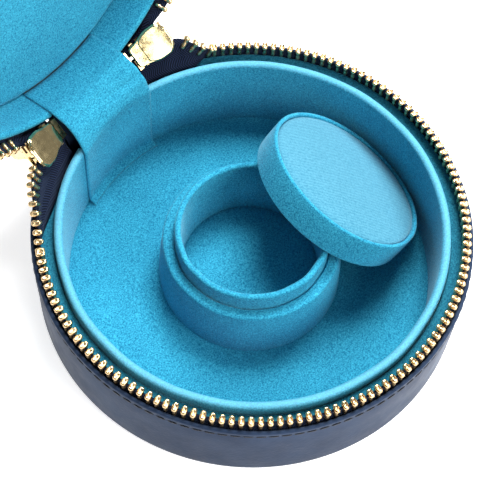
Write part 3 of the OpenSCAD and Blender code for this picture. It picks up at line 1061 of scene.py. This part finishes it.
def bent_bar(bm, line, half_wide, half_thick, place):
    """A bar of rounded section along a line of (along, out) points."""
    rings = []
    for k, (u, w) in enumerate(line):
        before, after = line[max(0, k - 1)], line[min(len(line) - 1, k + 1)]
        run = Vector((after[0] - before[0], after[1] - before[1])).normalized()
        rings.append([
            bm.verts.new(place(u - run.y * thick, wide, w + run.x * thick))
            for wide, thick in squared_ring(half_wide, half_thick, 12, 0.6)])
    skin(bm, rings)


def rounded(corners, radius, steps=5):
    """Outline through those corners, each rounded off."""
    def towards(corner, other):
        return corner.lerp(other, radius / (other - corner).length)

    points = []
    corners = [Vector(corner) for corner in corners]
    for k, corner in enumerate(corners):
        before = towards(corner, corners[k - 1])
        after = towards(corner, corners[(k + 1) % len(corners)])
        for j in range(steps + 1):
            t = j / steps
            p = before * (1 - t) ** 2 + corner * 2 * t * (1 - t) + after * t ** 2
            points.append((p.x, p.y))
    return points


def mm_points(*points):
    return [(u * MM, v * MM) for u, v in points]


SHIELD = rounded(mm_points((-6.3, -3.4), (-3.0, -3.8), (0.6, -5.1), (5.0, -5.1), (7.0, -2.6),
                           (7.0, 2.6), (5.0, 5.1), (0.6, 5.1), (-3.0, 3.8), (-6.3, 3.4)),
                 1.2 * MM)
RAISED = rounded(mm_points((-2.7, -3.5), (0.6, -4.8), (4.9, -4.8), (6.7, -2.5),
                           (6.7, 2.5), (4.9, 4.8), (0.6, 4.8), (-2.7, 3.5)), 1.2 * MM)
BACK_PLATE = rounded(mm_points((-5.5, -3.5), (5.5, -3.5), (5.5, 3.5), (-5.5, 3.5)), 1.6 * MM)
POST = rounded(mm_points((1.9, -0.45), (4.9, -0.45), (4.9, 0.45), (1.9, 0.45)), 0.3 * MM)
# Each part's two faces, by their distance from the case's axis, and the line of
# the bridge as (along, out).
SHIELD_AT = (57.6 * MM, 58.4 * MM)
RAISED_AT = (57.2 * MM, 57.7 * MM)
BACK_PLATE_AT = (61.3 * MM, 62.3 * MM)
POST_AT = (58.2 * MM, 61.5 * MM)
BRIDGE = mm_points((-3.0, 62.0), (-3.0, 63.4), (-2.7, 64.1), (-2.0, 64.4), (0.0, 64.45),
                   (2.0, 64.4), (2.7, 64.1), (3.0, 63.4), (3.0, 62.0))


def slider_piece(name, side):
    def place(u, v, w):
        return on_slider(u, v, w, side)
    bm = bmesh.new()
    cast_plate(bm, SHIELD, *SHIELD_AT, place)
    cast_plate(bm, RAISED, *RAISED_AT, place, 0.2 * MM)
    cast_plate(bm, BACK_PLATE, *BACK_PLATE_AT, place, 0.35 * MM)
    cast_plate(bm, POST, *POST_AT, place, 0.1 * MM)
    bent_bar(bm, BRIDGE, 0.9 * MM, 0.38 * MM, place)
    return brass_piece(name, bm)


def brass_piece(name, bm):
    bmesh.ops.remove_doubles(bm, verts=bm.verts, dist=1e-7)
    return piece_of(name, bm, slider_brass, 50)


# ------------------------------------------------------------------ pulls
# A flat brass tab with rounded corners and a sunk panel, on a wire loop
# that turns in the slider's bridge.
EYE_R = 63.25 * MM
TAB = rounded(mm_points((4.1, -2.2), (6.5, -3.3), (18.0, -3.3), (18.0, 3.3), (6.5, 3.3),
                        (4.1, 2.2)), 2.0 * MM, 8)
LOOP = mm_points((4.8, 1.75), (3.0, 1.75), (1.2, 1.7), (0.35, 1.45), (0.0, 0.9), (0.0, 0.0),
                 (0.0, -0.9), (0.35, -1.45), (1.2, -1.7), (3.0, -1.75), (4.8, -1.75))


def pull_piece(name, side):
    eye = fold_direction(side * park) * EYE_R + Vector((0, 0, zip_z))

    def place(u, v, w):
        return swing(zip_end_angle) @ (eye + Vector((side * w, u, v)))
    bm = bmesh.new()
    cast_plate(bm, TAB, -0.6 * MM, 0.6 * MM, place, 0.3 * MM, 0.25 * MM)
    bent_bar(bm, LOOP, 0.45 * MM, 0.42 * MM, lambda u, v, w: place(u, w, v))
    return brass_piece(name, bm)


for side, hand in ((-1, "left"), (1, "right")):
    slider = slider_piece("slider_" + hand + "_cast", side)
    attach(slider, "slider_" + hand)
    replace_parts(slider, "slider_" + hand)
    pull = pull_piece("pull_" + hand + "_tab", side)
    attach(pull, "pull_" + hand)
    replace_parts(pull, "pull_" + hand)


# ------------------------------------------------------------------ hinge lining
# One strip of suede runs from the tray floor up its back, over the gap at
# the fold and down to the lid's disc, and eases into soft folds there.
STRIP_HALF = 14.2 * MM
STRIP = 0.6 * MM
STRIP_BASE_R = 53.0 * MM            # it lies round the inside of the tray's wall
STRIP_LID_R = 54.2 * MM             # and round the inside of the lid's rim
DRAPE = 24                          # steps over the fold


def strip_line(x):
    """The strip's middle line at that width, from the tray's floor to the lid's disc."""
    low_y = sqrt(STRIP_BASE_R ** 2 - x ** 2)
    high_y = sqrt(STRIP_LID_R ** 2 - x ** 2)
    foot = [(2.4, 0.25), (1.5, 0.35), (0.8, 0.7), (0.3, 1.3), (0.05, 2.2)]
    down = [(low_y - back * MM, floor_z + up * MM) for back, up in foot]
    down += [(low_y, floor_z + 3 * MM + (rim_z - 4.0 * MM - floor_z) * k / 10) for k in range(11)]
    up = [swing(lid_open) @ Vector((x, high_y, rim_low + (1.2 + 10.2 * k / 8) * MM))
          for k in range(9)]
    start = Vector((down[-1][0] - hinge_at.y, down[-1][1] - hinge_at.z))
    end = Vector((up[0].y - hinge_at.y, up[0].z - hinge_at.z))
    start_angle = atan2(start.y, start.x) % (2 * pi)
    end_angle = atan2(end.y, end.x) % (2 * pi)
    over = []
    for k in range(1, DRAPE):
        share = k / DRAPE
        angle = start_angle + (end_angle - start_angle) * share
        radius = start.length + (end.length - start.length) * share
        radius -= 1.3 * MM * sin(pi * share)
        over.append((hinge_at.y + radius * cos(angle), hinge_at.z + radius * sin(angle)))
    return down + over + [(p.y, p.z) for p in up]


def hinge_strip():
    """The strip, creased where it is loose, and its length."""
    across = 28
    columns = []
    for j in range(across + 1):
        x = STRIP_HALF * (2 * j / across - 1)
        line = strip_line(x)
        column = []
        for k, (y, z) in enumerate(line):
            loose = smooth((k - 8) / 8) * smooth((len(line) - 5 - k) / 6)
            fold = noise.noise(Vector((x * 55 + k * 0.05, k * 0.24, 2.0)))
            pull_in = 0.9 * MM * loose * fold
            column.append((x, y - 0.7 * pull_in, z + 0.7 * pull_in))
        columns.append(column)
    lengths = run_lengths(strip_line(0.0))
    return ribbon("hinge_strip", columns, suede, STRIP,
                  lambda j, k: (columns[j][k][0], lengths[k])), lengths[-1]


strip, strip_length = hinge_strip()
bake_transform(strip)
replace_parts(strip, "hinge_lining_base", "hinge_lining_lid")


# ------------------------------------------------------------------ cap
# The pod's loose cap: a band of suede round a board hoop, and a foam pad
# under fine twill drawn down to a seam just inside the edge.
CAP_R = 25.7 * MM
CAP_TILT = radians(37.3)
CAP_TURN = radians(-21.2)
cap_at = Vector((26.1 * MM, -7.75 * MM, floor_z + 0.2 * MM + CAP_R * sin(CAP_TILT)))
leaning = (Matrix.Translation(cap_at) @ Matrix.Rotation(CAP_TURN, 4, "Z")
           @ Matrix.Rotation(CAP_TILT, 4, "Y"))
SEAM_Z = 9.3 * MM
PIPING = 0.62 * MM                  # radius of the band's folded top edge
SEAM_R = CAP_R - 2 * PIPING
BAND_IN = CAP_R - 2.6 * MM


def twill():
    material, tree, surface = shader(
        "turquoise_twill", Roughness=0.85, Specular_IOR_Level=0.2, Sheen_Weight=0.35,
        Sheen_Roughness=0.5, Sheen_Tint=(0.6, 0.88, 1.0, 1))
    weave = texture(tree, "Wave", Scale=900, Distortion=0.8, Detail=1,
                    bands_direction="DIAGONAL")
    nap = texture(tree, "Noise", Scale=1500, Detail=4, Roughness=0.7)
    both = put(tree, "Mix", data_type="FLOAT", Factor=0.8)
    wire(tree, weave, "Fac", both, 2)
    wire(tree, nap, "Fac", both, 3)
    coloured(tree, surface, both, "Result", (0.022, 0.16, 0.25), (0.075, 0.28, 0.39),
             (0.36, 0.62))
    relief(tree, surface, both, "Result", 0.15 * MM, 0.8)
    return material


cap_twill = twill()
band_section = (
    [(BAND_IN, 0.3 * MM), (BAND_IN + 0.4 * MM, 0), (CAP_R - 0.6 * MM, 0),
     (CAP_R - 0.1 * MM, 0.4 * MM), (CAP_R + 0.05 * MM, 3 * MM), (CAP_R + 0.05 * MM, 7 * MM)]
    + arc((CAP_R - PIPING, SEAM_Z - 0.45 * MM), PIPING, 0, 180, 10)
    + [(SEAM_R, SEAM_Z - 1.0 * MM), (BAND_IN, SEAM_Z - 1.2 * MM)]
)
cap_band = revolved("cap_band_suede", band_section, suede)
cap_band.data.transform(leaning)
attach(cap_band, "cap")
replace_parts(cap_band, "cap_side_band")

cap_pad = disc_pad("cap_pad", SEAM_R + 0.05 * MM, 0.0, SEAM_Z - 1.4 * MM, SEAM_Z, 0.9 * MM,
                   0.9 * MM, cap_twill, 0.1 * MM, 0.8 * MM)
cap_pad.data.transform(leaning)
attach(cap_pad, "cap")
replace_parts(cap_pad, "cap_top_pad")
repaint("cap_inner_lining", suede)


# ------------------------------------------------------------------ back fold leather
# Outside, a tongue of the same leather bridges the back fold: glued inside
# both lips, it folds in on itself as the lid goes back.
FOLD_LEATHER = 0.9 * MM
LEATHER_HALF = 13.5 * MM


def fold_leather():
    """From inside the base's wall, out over its lip, through the hinge line and back
    inside the lid's, which mirrors it."""
    half = [(-2.88, -18.0), (-2.88, -14.0), (-2.88, -10.0), (-2.88, -7.0), (-2.88, -5.0),
            (-2.8, -3.9), (-2.45, -2.95), (-1.8, -2.0), (-1.1, -1.1), (-0.5, -0.5)]
    line = [Vector((0, y * MM, z * MM)) + hinge_at for y, z in half]
    far = [swing(lid_open) @ (Vector((0, y * MM, -z * MM)) + hinge_at)
           for y, z in reversed(half)]
    line += [hinge_at] + far[:-2]
    across = 24
    columns = []
    for j in range(across + 1):
        x = LEATHER_HALF * (2 * j / across - 1)
        column = []
        for k, place in enumerate(line):
            loose = smooth((k - 4) / 5) * smooth((len(line) - 4 - k) / 5)
            crease = noise.noise(Vector((x * 90, k * 0.35, 5.0)))
            column.append(
                Vector((x, place.y, place.z)) + Vector((0, 0.3, -0.3)) * MM * crease * loose)
        columns.append(column)
    length = sum((q - p).length for p, q in zip(line, line[1:]))
    return ribbon("fold_leather", columns, leather, FOLD_LEATHER), length


tongue, tongue_length = fold_leather()
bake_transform(tongue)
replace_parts(tongue, "hinge_leather_base", "hinge_leather_lid")
